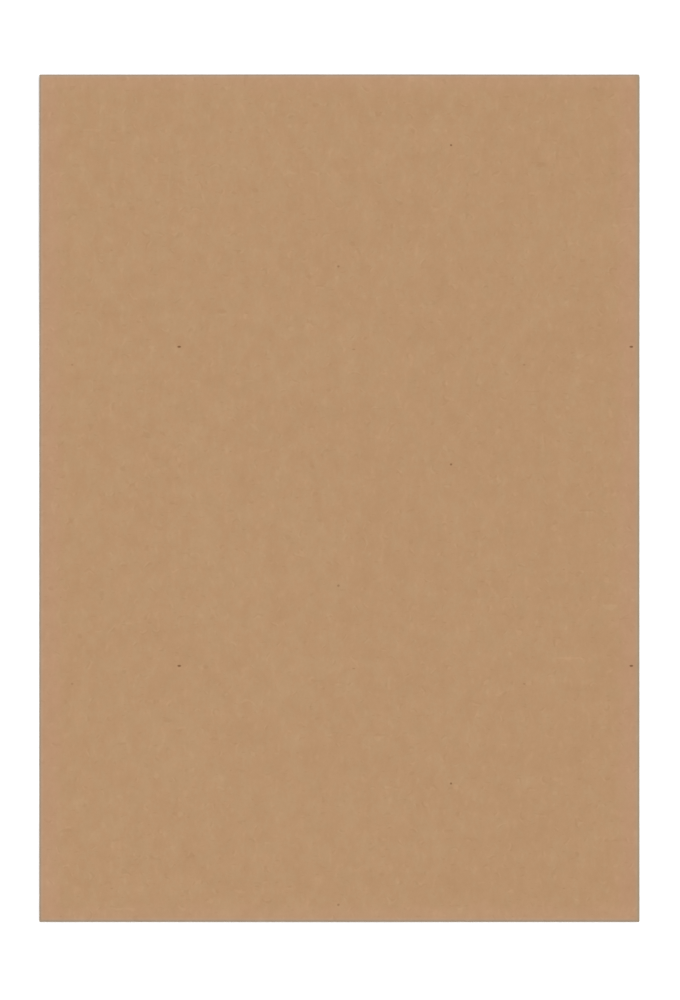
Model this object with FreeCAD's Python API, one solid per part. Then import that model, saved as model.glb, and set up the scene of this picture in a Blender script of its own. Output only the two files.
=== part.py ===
"""String tie envelope: a B4 pocket folded from one sheet of kraft paper, with two riveted buttons.

The envelope lies on its back, as it comes to rest with its plain address face upwards. The
flap, the centre seam, the bottom flap and the two buttons are underneath. Z is up, Y runs
from the bottom fold to the flap's fold, and the origin is at the centre of the box's base.
A depth is a distance straight down from the address face.
"""

import FreeCAD
import Part
import os

# Sheet and finished size, in millimetres.
ENVELOPE_WIDTH = 250.0
ENVELOPE_LENGTH = 353.0
PAPER = 0.2

# Centre seam: the left side panel laps over the right one.
SEAM_LAP = 20.0
JOGGLE_RUN = 4.0

# Mouth and foot of the side panels.
THROAT_DEPTH = 4.0
PANEL_SETBACK = 2.0

# Closing flap at the top and glued flap at the bottom.
FLAP_DEPTH = 60.0
FLAP_TAPER = 18.0
FLAP_CORNER_RADIUS = 22.0
BOTTOM_FLAP_DEPTH = 32.0
BOTTOM_FLAP_TAPER = 12.0
BOTTOM_FLAP_CORNER_RADIUS = 10.0
FLAP_SHOULDER = 0.3

# Fibre buttons that the string winds round.
BUTTON_DIAMETER = 18.0
BUTTON_THICKNESS = 0.9
FLAP_BUTTON_INSET = 9.0
BACK_BUTTON_DROP = 16.0

# Eyelets that rivet the buttons to the paper.
EYELET_BARREL_RADIUS = 2.2
EYELET_WALL = 0.25
EYELET_HEAD_WIDTH = 2.0
EYELET_HEAD_RISE = 0.5
EYELET_CLINCH_WIDTH = 1.4
EYELET_CLINCH_RISE = 0.4
HOLE_CLEARANCE = 0.1
LAYER_CLEARANCE = 0.2

# Depth of each paper face below the address face.
LAYER_GAP = EYELET_CLINCH_RISE + LAYER_CLEARANCE
FRONT_INSIDE = PAPER
PANEL_INSIDE = FRONT_INSIDE + LAYER_GAP
PANEL_OUTSIDE = PANEL_INSIDE + PAPER
SEAM_OUTSIDE = PANEL_OUTSIDE + PAPER
FLAP_INSIDE = SEAM_OUTSIDE + LAYER_GAP
FLAP_OUTSIDE = FLAP_INSIDE + PAPER
STACK_DEPTH = FLAP_OUTSIDE + BUTTON_THICKNESS + EYELET_HEAD_RISE

# Fold radii, on the outside of the paper, and where the flat panels end.
SIDE_FOLD_RADIUS = PANEL_OUTSIDE / 2
BOTTOM_FOLD_RADIUS = SEAM_OUTSIDE / 2
TOP_FOLD_RADIUS = FLAP_OUTSIDE / 2
PANEL_HALF_WIDTH = ENVELOPE_WIDTH / 2 - SIDE_FOLD_RADIUS
FLAP_HALF_WIDTH = PANEL_HALF_WIDTH - FLAP_SHOULDER
PANEL_FOOT_Y = -ENVELOPE_LENGTH / 2 + BOTTOM_FOLD_RADIUS
PANEL_HEAD_Y = ENVELOPE_LENGTH / 2 - TOP_FOLD_RADIUS
SEAM_FOOT_Y = PANEL_FOOT_Y + PANEL_SETBACK + JOGGLE_RUN

# Places of the buttons on the centre line.
FLAP_EDGE_Y = PANEL_HEAD_Y - FLAP_DEPTH
FLAP_BUTTON_Y = FLAP_EDGE_Y + FLAP_BUTTON_INSET + BUTTON_DIAMETER / 2
BACK_BUTTON_Y = FLAP_EDGE_Y - BACK_BUTTON_DROP - BUTTON_DIAMETER / 2
HOLE_RADIUS = EYELET_BARREL_RADIUS + HOLE_CLEARANCE

DOWN = FreeCAD.Vector(0, 0, -1)


def at(x, y, depth):
    """Point at a depth below the address face."""
    return FreeCAD.Vector(x, y, STACK_DEPTH - depth)


def line(start, end):
    return Part.LineSegment(start, end).toShape()


def arc(start, middle, end):
    return Part.Arc(start, middle, end).toShape()


def solid_from(edges, sweep):
    """Solid made by sweeping the face inside a closed chain of edges along a vector."""
    return Part.Face(Part.Wire(edges)).extrude(sweep)


def prism(outline, top_depth, bottom_depth):
    """Upright prism over a plan outline, a list of (x, y) corners, between two depths."""
    corners = [at(x, y, top_depth) for x, y in outline]
    base = Part.Face(Part.makePolygon(corners + corners[:1]))
    return base.extrude(DOWN * (bottom_depth - top_depth))


def slab(half_width, low_y, high_y, top_depth, bottom_depth):
    """Flat rectangular plate, centred on x = 0."""
    outline = [
        (-half_width, low_y),
        (half_width, low_y),
        (half_width, high_y),
        (-half_width, high_y),
    ]
    return prism(outline, top_depth, bottom_depth)


def tube_outside(y):
    """Closed outside line of the folded tube's section, with the left panel's joggle and free edge."""
    edge, lap = PANEL_HALF_WIDTH, SEAM_LAP / 2
    right_fold = arc(
        at(edge, y, 0),
        at(edge + SIDE_FOLD_RADIUS, y, SIDE_FOLD_RADIUS),
        at(edge, y, PANEL_OUTSIDE),
    )
    left_fold = arc(
        at(-edge, y, PANEL_OUTSIDE),
        at(-edge - SIDE_FOLD_RADIUS, y, SIDE_FOLD_RADIUS),
        at(-edge, y, 0),
    )
    back = [
        at(edge, y, PANEL_OUTSIDE),
        at(lap, y, PANEL_OUTSIDE),
        at(lap, y, SEAM_OUTSIDE),
        at(-lap, y, SEAM_OUTSIDE),
        at(-lap - JOGGLE_RUN, y, PANEL_OUTSIDE),
        at(-edge, y, PANEL_OUTSIDE),
    ]
    back_lines = [line(a, b) for a, b in zip(back, back[1:])]
    return [line(at(-edge, y, 0), at(edge, y, 0)), right_fold, *back_lines, left_fold]


def tube_inside(y):
    """Closed line round the pocket, inside the paper, with the right panel's free edge."""
    edge, lap = PANEL_HALF_WIDTH, SEAM_LAP / 2
    radius = SIDE_FOLD_RADIUS - PAPER
    right_fold = arc(
        at(edge, y, FRONT_INSIDE),
        at(edge + radius, y, SIDE_FOLD_RADIUS),
        at(edge, y, PANEL_INSIDE),
    )
    left_fold = arc(
        at(-edge, y, PANEL_INSIDE),
        at(-edge - radius, y, SIDE_FOLD_RADIUS),
        at(-edge, y, FRONT_INSIDE),
    )
    back = [
        at(edge, y, PANEL_INSIDE),
        at(-lap, y, PANEL_INSIDE),
        at(-lap, y, PANEL_OUTSIDE),
        at(-lap - JOGGLE_RUN, y, PANEL_INSIDE),
        at(-edge, y, PANEL_INSIDE),
    ]
    back_lines = [line(a, b) for a, b in zip(back, back[1:])]
    front = line(at(-edge, y, FRONT_INSIDE), at(edge, y, FRONT_INSIDE))
    return [front, right_fold, *back_lines, left_fold]


def folded_tube():
    """Front panel with both side panels folded behind it and glued along the centre seam."""
    sweep = FreeCAD.Vector(0, PANEL_HEAD_Y - PANEL_FOOT_Y, 0)
    tube = solid_from(tube_outside(PANEL_FOOT_Y), sweep)
    pocket = solid_from(tube_inside(PANEL_FOOT_Y), sweep)
    return tube.cut(pocket).cut(foot_relief()).cut(throat())


def foot_relief():
    """Cut-back at the foot of the side panels, so that they stay clear of the bottom fold."""
    step = SEAM_FOOT_Y - PANEL_FOOT_Y
    outline = [
        (-PANEL_HALF_WIDTH, PANEL_FOOT_Y),
        (PANEL_HALF_WIDTH, PANEL_FOOT_Y),
        (PANEL_HALF_WIDTH - step, SEAM_FOOT_Y),
        (-PANEL_HALF_WIDTH + step, SEAM_FOOT_Y),
    ]
    return prism(outline, SIDE_FOLD_RADIUS, FLAP_OUTSIDE)


def throat():
    """Shallow curve that shapes the mouth's edge on the side panels."""
    left = at(-PANEL_HALF_WIDTH, PANEL_HEAD_Y, SIDE_FOLD_RADIUS)
    right = at(PANEL_HALF_WIDTH, PANEL_HEAD_Y, SIDE_FOLD_RADIUS)
    middle = at(0, PANEL_HEAD_Y - THROAT_DEPTH, SIDE_FOLD_RADIUS)
    edges = [arc(left, middle, right), line(right, left)]
    return solid_from(edges, DOWN * (FLAP_OUTSIDE - SIDE_FOLD_RADIUS))


def fold(line_y, outwards, radius):
    """Half turn of paper from the front panel's end down to a flap; outwards is +1 or -1 along Y."""
    inner = radius - PAPER
    edge = -FLAP_HALF_WIDTH
    outside = arc(
        at(edge, line_y, 0),
        at(edge, line_y + outwards * radius, radius),
        at(edge, line_y, 2 * radius),
    )
    inside = arc(
        at(edge, line_y, 2 * radius - PAPER),
        at(edge, line_y + outwards * inner, radius),
        at(edge, line_y, PAPER),
    )
    far_end = line(at(edge, line_y, 2 * radius), at(edge, line_y, 2 * radius - PAPER))
    near_end = line(at(edge, line_y, PAPER), at(edge, line_y, 0))
    sweep = FreeCAD.Vector(2 * FLAP_HALF_WIDTH, 0, 0)
    return solid_from([outside, far_end, inside, near_end], sweep)


def flap_outline(root_y, free_y, taper, corner_radius, top_depth, bottom_depth):
    """Tapered flap in plan, with its two free corners rounded."""
    outline = [
        (-FLAP_HALF_WIDTH, root_y),
        (FLAP_HALF_WIDTH, root_y),
        (FLAP_HALF_WIDTH - taper, free_y),
        (-FLAP_HALF_WIDTH + taper, free_y),
    ]
    blank = prism(outline, top_depth, bottom_depth)
    free_corners = [edge for edge in blank.Edges if is_upright_at(edge, free_y)]
    return blank.makeFillet(corner_radius, free_corners)


def is_upright_at(edge, y):
    """True of a vertical edge that stands at the given Y."""
    box = edge.BoundBox
    return box.ZLength > max(box.XLength, box.YLength) and abs(box.Center.y - y) < PAPER


def seam_ridge(base_depth, free_y):
    """Raised band that paper lying over the seam takes: one paper thick, with sloping sides and foot."""
    lap, run = SEAM_LAP / 2, JOGGLE_RUN

    def ring(grow, depth):
        corners = [
            at(-lap - grow, SEAM_FOOT_Y - grow, depth),
            at(lap + grow, SEAM_FOOT_Y - grow, depth),
            at(lap + grow, free_y, depth),
            at(-lap - grow, free_y, depth),
        ]
        return Part.makePolygon(corners + corners[:1])

    return Part.makeLoft([ring(run, base_depth), ring(0, base_depth + PAPER)], True, True)


def bottom_flap():
    """Glued flap that closes the foot of the pocket and lies over the seam."""
    free_y = PANEL_FOOT_Y + BOTTOM_FLAP_DEPTH
    beyond = free_y + BOTTOM_FLAP_DEPTH
    plate = slab(FLAP_HALF_WIDTH, PANEL_FOOT_Y, beyond, PANEL_OUTSIDE, SEAM_OUTSIDE)
    raised = plate.fuse(seam_ridge(SEAM_OUTSIDE, beyond)).cut(seam_ridge(PANEL_OUTSIDE, beyond))
    outline = flap_outline(
        PANEL_FOOT_Y,
        free_y,
        BOTTOM_FLAP_TAPER,
        BOTTOM_FLAP_CORNER_RADIUS,
        PANEL_INSIDE,
        FLAP_OUTSIDE,
    )
    return raised.common(outline)


def closing_flap():
    """Flap that covers the mouth and carries the upper button."""
    return flap_outline(
        PANEL_HEAD_Y,
        FLAP_EDGE_Y,
        FLAP_TAPER,
        FLAP_CORNER_RADIUS,
        FLAP_INSIDE,
        FLAP_OUTSIDE,
    )


def eyelet_hole(y, top_depth, bottom_depth):
    """Punched hole for an eyelet's barrel."""
    start = at(0, y, top_depth)
    return Part.makeCylinder(HOLE_RADIUS, bottom_depth - top_depth, start, DOWN)


def envelope():
    """The whole folded sheet, glued into one piece."""
    sheet = folded_tube()
    sheet = sheet.fuse(
        [
            fold(PANEL_FOOT_Y, -1, BOTTOM_FOLD_RADIUS),
            bottom_flap(),
            fold(PANEL_HEAD_Y, 1, TOP_FOLD_RADIUS),
            closing_flap(),
        ]
    ).removeSplitter()
    sheet = sheet.cut(eyelet_hole(BACK_BUTTON_Y, SIDE_FOLD_RADIUS, FLAP_OUTSIDE))
    return sheet.cut(eyelet_hole(FLAP_BUTTON_Y, FLAP_INSIDE, FLAP_OUTSIDE))


def button(y, seat_depth):
    """Fibre disc, punched for its eyelet, lying on the paper."""
    start = at(0, y, seat_depth)
    disc = Part.makeCylinder(BUTTON_DIAMETER / 2, BUTTON_THICKNESS, start, DOWN)
    return disc.cut(eyelet_hole(y, seat_depth, seat_depth + BUTTON_THICKNESS))


def dome(inner, outer, y, seat_depth, rise):
    """Arc over a ring seat, between two radii; a negative rise is towards the address face."""
    middle = at((inner + outer) / 2, y, seat_depth + rise)
    return arc(at(inner, y, seat_depth), middle, at(outer, y, seat_depth))


def eyelet(y, grip_top, grip_bottom):
    """Tubular rivet: a domed head under the button, a barrel, and a clinched rim inside the paper."""
    barrel = EYELET_BARREL_RADIUS
    bore = barrel - EYELET_WALL
    head = barrel + EYELET_HEAD_WIDTH
    clinch = barrel + EYELET_CLINCH_WIDTH
    edges = [
        dome(bore, head, y, grip_bottom, EYELET_HEAD_RISE),
        line(at(head, y, grip_bottom), at(barrel, y, grip_bottom)),
        line(at(barrel, y, grip_bottom), at(barrel, y, grip_top)),
        line(at(barrel, y, grip_top), at(clinch, y, grip_top)),
        dome(clinch, bore, y, grip_top, -EYELET_CLINCH_RISE),
        line(at(bore, y, grip_top), at(bore, y, grip_bottom)),
    ]
    return Part.Face(Part.Wire(edges)).revolve(at(0, y, 0), DOWN, 360)


def main():
    pieces = {
        "envelope_sheet": envelope(),
        "flap_button": button(FLAP_BUTTON_Y, FLAP_OUTSIDE),
        "back_button": button(BACK_BUTTON_Y, SEAM_OUTSIDE),
        "flap_eyelet": eyelet(FLAP_BUTTON_Y, FLAP_INSIDE, FLAP_OUTSIDE + BUTTON_THICKNESS),
        "back_eyelet": eyelet(BACK_BUTTON_Y, PANEL_INSIDE, SEAM_OUTSIDE + BUTTON_THICKNESS),
    }
    os.makedirs("parts", exist_ok=True)
    for name, shape in pieces.items():
        shape.exportStep(f"parts/{name}.step")
        print(name, len(shape.Solids), "solid", round(shape.Volume, 2), "mm3", shape.isValid())


main()
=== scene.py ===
# %% [markdown]
# # A string tie envelope, lying on its back
# The object is a pocket folded from one sheet of brown kraft paper. Its plain address face looks
# up. Its flap, its glued seam and the two riveted buttons are underneath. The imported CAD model
# says how large everything is and where it goes, so it is loaded first and never moved.

# %% Load the frame
import math
import bpy
import numpy as np
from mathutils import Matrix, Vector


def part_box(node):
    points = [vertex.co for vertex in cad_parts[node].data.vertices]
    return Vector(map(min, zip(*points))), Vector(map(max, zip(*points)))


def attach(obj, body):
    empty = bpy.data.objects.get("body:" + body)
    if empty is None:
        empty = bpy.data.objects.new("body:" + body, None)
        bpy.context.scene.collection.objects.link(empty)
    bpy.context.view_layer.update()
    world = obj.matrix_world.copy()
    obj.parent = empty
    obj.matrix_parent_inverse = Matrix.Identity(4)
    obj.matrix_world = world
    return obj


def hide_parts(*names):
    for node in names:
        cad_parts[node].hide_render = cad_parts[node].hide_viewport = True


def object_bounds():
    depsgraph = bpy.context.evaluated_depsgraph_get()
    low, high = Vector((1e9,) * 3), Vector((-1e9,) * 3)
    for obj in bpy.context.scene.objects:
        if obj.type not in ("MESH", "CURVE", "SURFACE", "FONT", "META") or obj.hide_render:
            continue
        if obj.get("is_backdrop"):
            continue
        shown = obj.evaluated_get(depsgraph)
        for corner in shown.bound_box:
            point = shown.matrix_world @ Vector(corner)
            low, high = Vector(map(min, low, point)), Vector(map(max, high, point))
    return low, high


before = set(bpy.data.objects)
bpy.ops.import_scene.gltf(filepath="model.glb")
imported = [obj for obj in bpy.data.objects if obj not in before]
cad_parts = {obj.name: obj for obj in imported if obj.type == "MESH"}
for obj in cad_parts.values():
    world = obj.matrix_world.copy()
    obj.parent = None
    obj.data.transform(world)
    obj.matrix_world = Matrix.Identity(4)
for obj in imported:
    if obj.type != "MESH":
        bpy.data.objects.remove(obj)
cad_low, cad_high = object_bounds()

print("the packed nodes are", sorted(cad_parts))

# %% [markdown]
# ## Working sizes
# Everything below is worked out in millimetres, because paper is thought of in millimetres, and
# turned to metres only when a mesh is made. The overall sizes come from the frame. The folds and
# layers repeat the CAD model's own sizes, so that the paper is folded along the same lines.

# %% Sizes from the frame
MM = 0.001


def node_box(name):
    """Lowest and highest corner of a CAD node, in millimetres."""
    low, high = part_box(name)
    return np.array(low) / MM, np.array(high) / MM


sheet_low, sheet_high = node_box("envelope_sheet")
HALF_WIDTH = (sheet_high[0] - sheet_low[0]) / 2
HALF_LENGTH = (sheet_high[1] - sheet_low[1]) / 2
FACE_HEIGHT = sheet_high[2]
print("envelope", 2 * HALF_WIDTH, "by", 2 * HALF_LENGTH, "mm, its face", FACE_HEIGHT, "mm up")

# %% Layers and their depths
# A depth is measured down from the address face to the outside of a layer.
PAPER = 0.2
GLUE = 0.02
LAYER_GAP = 0.6
BACK_DEPTH = 2 * PAPER + LAYER_GAP
SEAM_DEPTH = BACK_DEPTH + PAPER + GLUE
FLAP_DEPTH = BACK_DEPTH + 2 * PAPER + LAYER_GAP
print("depth of back, bottom flap and closing flap:", BACK_DEPTH, SEAM_DEPTH, FLAP_DEPTH, "mm")

# %% Folds
# A fold is half round and as wide as the depth that it spans. The front panel is flat up to
# EDGE_X, FOOT_Y and HEAD_Y, where its folds start.
SIDE_RADIUS = BACK_DEPTH / 2
FOOT_RADIUS = SEAM_DEPTH / 2
HEAD_RADIUS = FLAP_DEPTH / 2
EDGE_X = HALF_WIDTH - SIDE_RADIUS
FOOT_Y = -HALF_LENGTH + FOOT_RADIUS
HEAD_Y = HALF_LENGTH - HEAD_RADIUS
print("the front panel is flat to", EDGE_X, "mm across, and from", FOOT_Y, "to", HEAD_Y, "mm along")

# %% Panels and flaps
# A flap starts a SHOULDER inside the side fold. A side panel's corner stands out by an EAR in
# the middle of its fold: that closes the corner as far as it can without crossing the end fold.
# The seam's lap is twice SEAM_HALF wide, and the paper climbs on to it over a JOGGLE. At the foot
# the side panels are set back, to clear the fold, and at the mouth they are hollowed by a THROAT.
SHOULDER = 0.3
EAR = 0.05
SEAM_HALF = 10.0
JOGGLE = 4.0
FOOT_SETBACK = 6.0
THROAT = 4.0
TOP_FLAP = {"length": 60.0, "taper": 18.0, "corner": 22.0}
FOOT_FLAP = {"length": 32.0, "taper": 12.0, "corner": 10.0}
print("the closing flap is", TOP_FLAP["length"], "mm deep, and the bottom flap", FOOT_FLAP["length"])

# %% [markdown]
# ## Camera, floor and light
# The envelope is seen square on, so the camera looks straight down. A long lens shows hardly any
# perspective, so each fold is a thin even line. The floor is a plain pale sheet, and the light is
# soft: a broad sun from nearly overhead for a little shape, and a bright sky for the rest.

# %% Camera
# The face takes up FACE_IN_VIEW of the view's height, and the camera is OFF_CENTRE, in mm, from
# the point over the face's middle.
LENS = 300.0
SENSOR = 36.0
FACE_IN_VIEW = 0.8472
OFF_CENTRE = (0.26, -0.72)


def make_camera():
    """Camera over the face: its distance is lens / sensor times the length that it sees."""
    camera = bpy.data.objects.new("camera", bpy.data.cameras.new("camera"))
    bpy.context.scene.collection.objects.link(camera)
    camera.data.lens = LENS
    camera.data.sensor_width = SENSOR
    seen = 2 * HALF_LENGTH / FACE_IN_VIEW
    height = seen * LENS / SENSOR
    camera.location = (OFF_CENTRE[0] * MM, OFF_CENTRE[1] * MM, height * MM)
    bpy.context.scene.camera = camera
    print("the camera is", round(height), "mm up and sees", round(seen, 1), "mm of height")


make_camera()

# %% Floor
# It is so wide that its far edge stays out of sight in a low view.
FLOOR_HALF = 30000.0


def plane(name, half, height):
    """Square sheet about the middle of the room, at a height."""
    mesh = bpy.data.meshes.new(name)
    corners = np.array([(-1, -1, 0), (1, -1, 0), (1, 1, 0), (-1, 1, 0)]) * half
    corners = corners + np.array([0, 0, height])
    mesh.from_pydata((corners * MM).tolist(), [], [(0, 1, 2, 3)])
    thing = bpy.data.objects.new(name, mesh)
    bpy.context.scene.collection.objects.link(thing)
    return thing


floor = plane("floor", FLOOR_HALF, cad_low[2] / MM)
floor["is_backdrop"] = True
print("the floor is", 2 * FLOOR_HALF * MM, "m wide")

# %% [markdown]
# ### A helper for nodes
# Light and finishes are made of nodes, and each node is added in the same three moves: make it,
# set it, link it. One small function does that for every kind, so a finish reads as a list.

# %% Helper for nodes


def add_node(tree, kind, settings=None, links=None, inputs=None):
    """Adds one node: settings are its attributes, links come from other sockets, inputs are values."""
    node = tree.nodes.new(kind)
    for name, value in (settings or {}).items():
        setattr(node, name, value)
    for name, value in (inputs or {}).items():
        node.inputs[name].default_value = value
    for name, source in (links or {}).items():
        tree.links.new(source, node.inputs[name])
    return node


# %% Light
SUN_SHARE = 0.55
SUN_WIDTH = math.radians(70)
SUN_TILT = (math.radians(-10), math.radians(9))
SKY_HORIZON = 1.0
SKY_ZENITH = 0.55
SKY_FADE = (0.1, 0.5)


def make_light():
    """A sun as wide as a big softbox, and a sky that is brightest at the horizon."""
    sun = bpy.data.objects.new("soft_sun", bpy.data.lights.new("soft_sun", "SUN"))
    bpy.context.scene.collection.objects.link(sun)
    sun.data.energy = SUN_SHARE * math.pi
    sun.data.angle = SUN_WIDTH
    sun.rotation_euler = (SUN_TILT[0], SUN_TILT[1], 0)
    world = bpy.data.worlds.new("studio")
    bpy.context.scene.world = world
    world.use_nodes = True
    tree = world.node_tree
    background = tree.nodes["Background"]
    place = add_node(tree, "ShaderNodeTexCoord")
    split = add_node(tree, "ShaderNodeSeparateXYZ", links={0: place.outputs["Generated"]})
    fade = add_node(
        tree,
        "ShaderNodeMapRange",
        {"interpolation_type": "SMOOTHSTEP"},
        {"Value": split.outputs["Z"]},
        {
            "From Min": SKY_FADE[0],
            "From Max": SKY_FADE[1],
            "To Min": SKY_HORIZON,
            "To Max": SKY_ZENITH,
        },
    )
    tree.links.new(fade.outputs["Result"], background.inputs["Strength"])
    background.inputs["Color"].default_value = (1, 1, 1, 1)


make_light()
# The standard view shows a plain tan as it is, with no film curve to grey it.
bpy.context.scene.view_settings.view_transform = "Standard"
print("the sun gives", SUN_SHARE, "of white, and the sky the rest")

# %% [markdown]
# ## The folded sheet
# A paper envelope is one flat blank, cut to a cross and folded round. It could be modelled flat
# and bent with modifiers, but then its layers would cross at the seam. Instead each place on the
# blank is sent straight to where folding puts it. A place is known by its x, its y and its depth
# below the address face. A last step lays that stack on the floor, as thin paper lies.

# %% Helpers for curves and grids


def smooth(low, high, value):
    """Smooth step: 3t^2 - 2t^3, where t runs from 0 at low to 1 at high."""
    t = np.clip((value - low) / (high - low), 0, 1)
    return t * t * (3 - 2 * t)


def quads(index, flip=False):
    """Four-cornered faces between neighbouring entries of a grid of vertex numbers."""
    a, b = index[:-1, :-1], index[:-1, 1:]
    c, d = index[1:, 1:], index[1:, :-1]
    order = (a, d, c, b) if flip else (a, b, c, d)
    return np.stack([corner.ravel() for corner in order], 1)


def half_width(flap, q):
    """Half the width of a flap at q from its free edge: a slanted side, and a round corner.

    The side is x = x0 + m q. The corner is an arc of radius R and centre (xc, R), with
    xc = x0 + m R - R sqrt(1 + m^2), so that it just touches the free edge and the side."""
    slope = flap["taper"] / flap["length"]
    radius = flap["corner"]
    free_x = EDGE_X - SHOULDER - flap["taper"]
    lean = math.sqrt(1 + slope * slope)
    centre_x = free_x + slope * radius - radius * lean
    on_arc = q < radius * (1 - slope / lean)
    arc_x = centre_x + np.sqrt(np.clip(radius**2 - (radius - q) ** 2, 0, None))
    return np.where(on_arc, arc_x, free_x + slope * q)


CORNER_ROWS = 9
FLAP_ROW = 4.0


def flap_steps(flap, knots):
    """Distances from a flap's free edge: close together round its corner, then even to its fold.

    The knots are distances that have to be among them."""
    radius = flap["corner"]
    corner = radius * (1 - np.cos(np.linspace(0, np.pi / 2, CORNER_ROWS)))
    rest = np.arange(radius, flap["length"], FLAP_ROW)
    return np.unique(np.round(np.concatenate([corner, rest, [flap["length"]], knots]), 4))


# %% [markdown]
# ### How thin paper lies over a bump
# The buttons and their rivets hold the envelope 1.4 mm off the floor, and further out the paper
# sinks until it lies flat. A cloth simulation could find that shape, but a formula gives the same
# one at once: a heavy sheet that is lifted at one place lies as 4t^3 - 3t^4, where t is 1 at the
# lifted place and 0 where the sheet lands. The landing distance grows with the paper's
# stiffness, and is about 120 mm for this weight of paper.

# %% Where the buttons are
flap_low, flap_high = node_box("flap_button")
back_low, back_high = node_box("back_button")
FLAP_BUTTON = (flap_low[:2] + flap_high[:2]) / 2
BACK_BUTTON = (back_low[:2] + back_high[:2]) / 2
BUTTON_RADIUS = (flap_high[0] - flap_low[0]) / 2
print("the buttons are at y =", FLAP_BUTTON[1].round(1), "and", BACK_BUTTON[1].round(1), "mm")

# %% Height of the address face
# LYING is where the face lies over two layers. It is higher over more layers: each row gives by
# how much, and the y where that starts and where it is full. Over the seam it swells gently.
LYING = 1.06
OVER_FLAPS = [
    # rise, y where it starts, y where it is full
    (0.2, -125.0, -150.0),
    (0.96, 60.0, 108.0),
]
OVER_SEAM = 0.26
SEAM_SPREAD = 40.0
LEVEL_RADIUS = BUTTON_RADIUS + 3.0
LANDING = 120.0
COCKLE = 0.06
COCKLE_WAVES = [
    # share, wavelength across and along (a minus sign slants the wave the other way), shift
    (1.0, 131.0, 187.0, 0.7),
    (0.8, 83.0, -119.0, 2.1),
    (0.5, 57.0, 71.0, 4.0),
]


def cockle(x, y):
    """Faint waves that damp air leaves in paper: a sum of three long sines, from 0 to 2 COCKLE."""
    waves, shares = 0, 0
    for share, across, along, shift in COCKLE_WAVES:
        waves = waves + share * np.sin(2 * np.pi * (x / across + y / along) + shift)
        shares = shares + share
    return COCKLE * (1 + waves / shares)


def face_height(x, y):
    """Height of the address face over the floor, at a place in plan."""
    landed = LYING + cockle(x, y)
    for rise, start, full in OVER_FLAPS:
        landed = landed + rise * smooth(start, full, y)
    landed = landed + OVER_SEAM * np.exp(-((x / SEAM_SPREAD) ** 2))
    along = np.clip(y, BACK_BUTTON[1], FLAP_BUTTON[1])
    away = np.hypot(x - FLAP_BUTTON[0], y - along) - LEVEL_RADIUS
    t = 1 - np.clip(away / LANDING, 0, 1)
    lift = 4 * t**3 - 3 * t**4
    return landed + (FACE_HEIGHT - landed) * lift


# %% Columns and rows of the grid
# They are even, about 4 mm apart, and more of them stand where a seam, a rivet or a fold needs
# them. An even one that would come too near to those of a seam or a rivet is left out.
EVEN_COLUMNS = 63
EVEN_ROWS = 84
JOGGLE_COLUMNS = 6
RIVET_STEPS = np.array([-4.0, -2.0, 0.0, 2.0, 4.0])
BESIDE_RIVET = np.array([-6.0, 6.0])
BESIDE_END = np.array([0.002, 0.005])


def even_but(even, needed, nearest):
    """The even steps that are further than nearest from every needed one, and the needed ones."""
    clear = np.abs(even[:, None] - needed[None, :]).min(1) > nearest
    return np.concatenate([even[clear], needed])


def column_steps():
    """X of each column: closer over the seam's edges and round the rivets."""
    even = np.linspace(-EDGE_X, EDGE_X, EVEN_COLUMNS)
    joggle = np.linspace(SEAM_HALF, SEAM_HALF + JOGGLE, JOGGLE_COLUMNS)
    needed = np.concatenate([joggle, -joggle, RIVET_STEPS, BESIDE_RIVET])
    return np.unique(np.round(even_but(even, needed, nearest=1.2), 4))


COLUMNS = column_steps()


def throat_y(x):
    """Upper edge of the side panels, a shallow arc: y = head - throat (1 - (x / edge)^2)."""
    return HEAD_Y - THROAT * (1 - (x / EDGE_X) ** 2)


def row_shares():
    """Rows of the front and side panels as shares of their height: closer at the ends and the rivet."""
    low, high = FOOT_Y + FOOT_SETBACK, throat_y(0.0)
    rivet = (BACK_BUTTON[1] + RIVET_STEPS - low) / (high - low)
    steps = even_but(np.linspace(0, 1, EVEN_ROWS), rivet, nearest=0.005)
    return np.unique(np.round(np.concatenate([steps, BESIDE_END, 1 - BESIDE_END]), 6))


SHARES = row_shares()
print(len(COLUMNS), "columns and", len(SHARES), "rows on the front panel")

# %% [markdown]
# ### The spine: bottom flap, foot fold, front panel, head fold, closing flap
# These lie one after another along the blank, so they are one grid. Each row has a y, a depth
# and a half width. Round a fold of radius R, at an angle a, y moves R sin(a) outwards and the
# depth is R (1 - cos(a)).

# %% Spine rows
# The bottom flap rises on to the lapped seam from RELIEF_START past its fold to FOOT_SETBACK.
FOLD_STEPS = 12
RELIEF_START = 2.0
RELIEF_ROWS = 5


def fold_angles():
    """Angles of the rows inside a fold, a half turn, without its two ends."""
    return np.linspace(0, np.pi, FOLD_STEPS + 1)[1:-1]


def fold_half_width(angle):
    """Half the width of an end fold: its corner is rounded, and then drawn in to the flap.

    It is e + r cos(a) up to a quarter turn, and e + s cos(a) after it, where e is the side fold's
    start, r its radius and s the flap's shoulder."""
    turn = np.cos(angle)
    return EDGE_X + np.where(turn > 0, SIDE_RADIUS, SHOULDER) * turn


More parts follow.
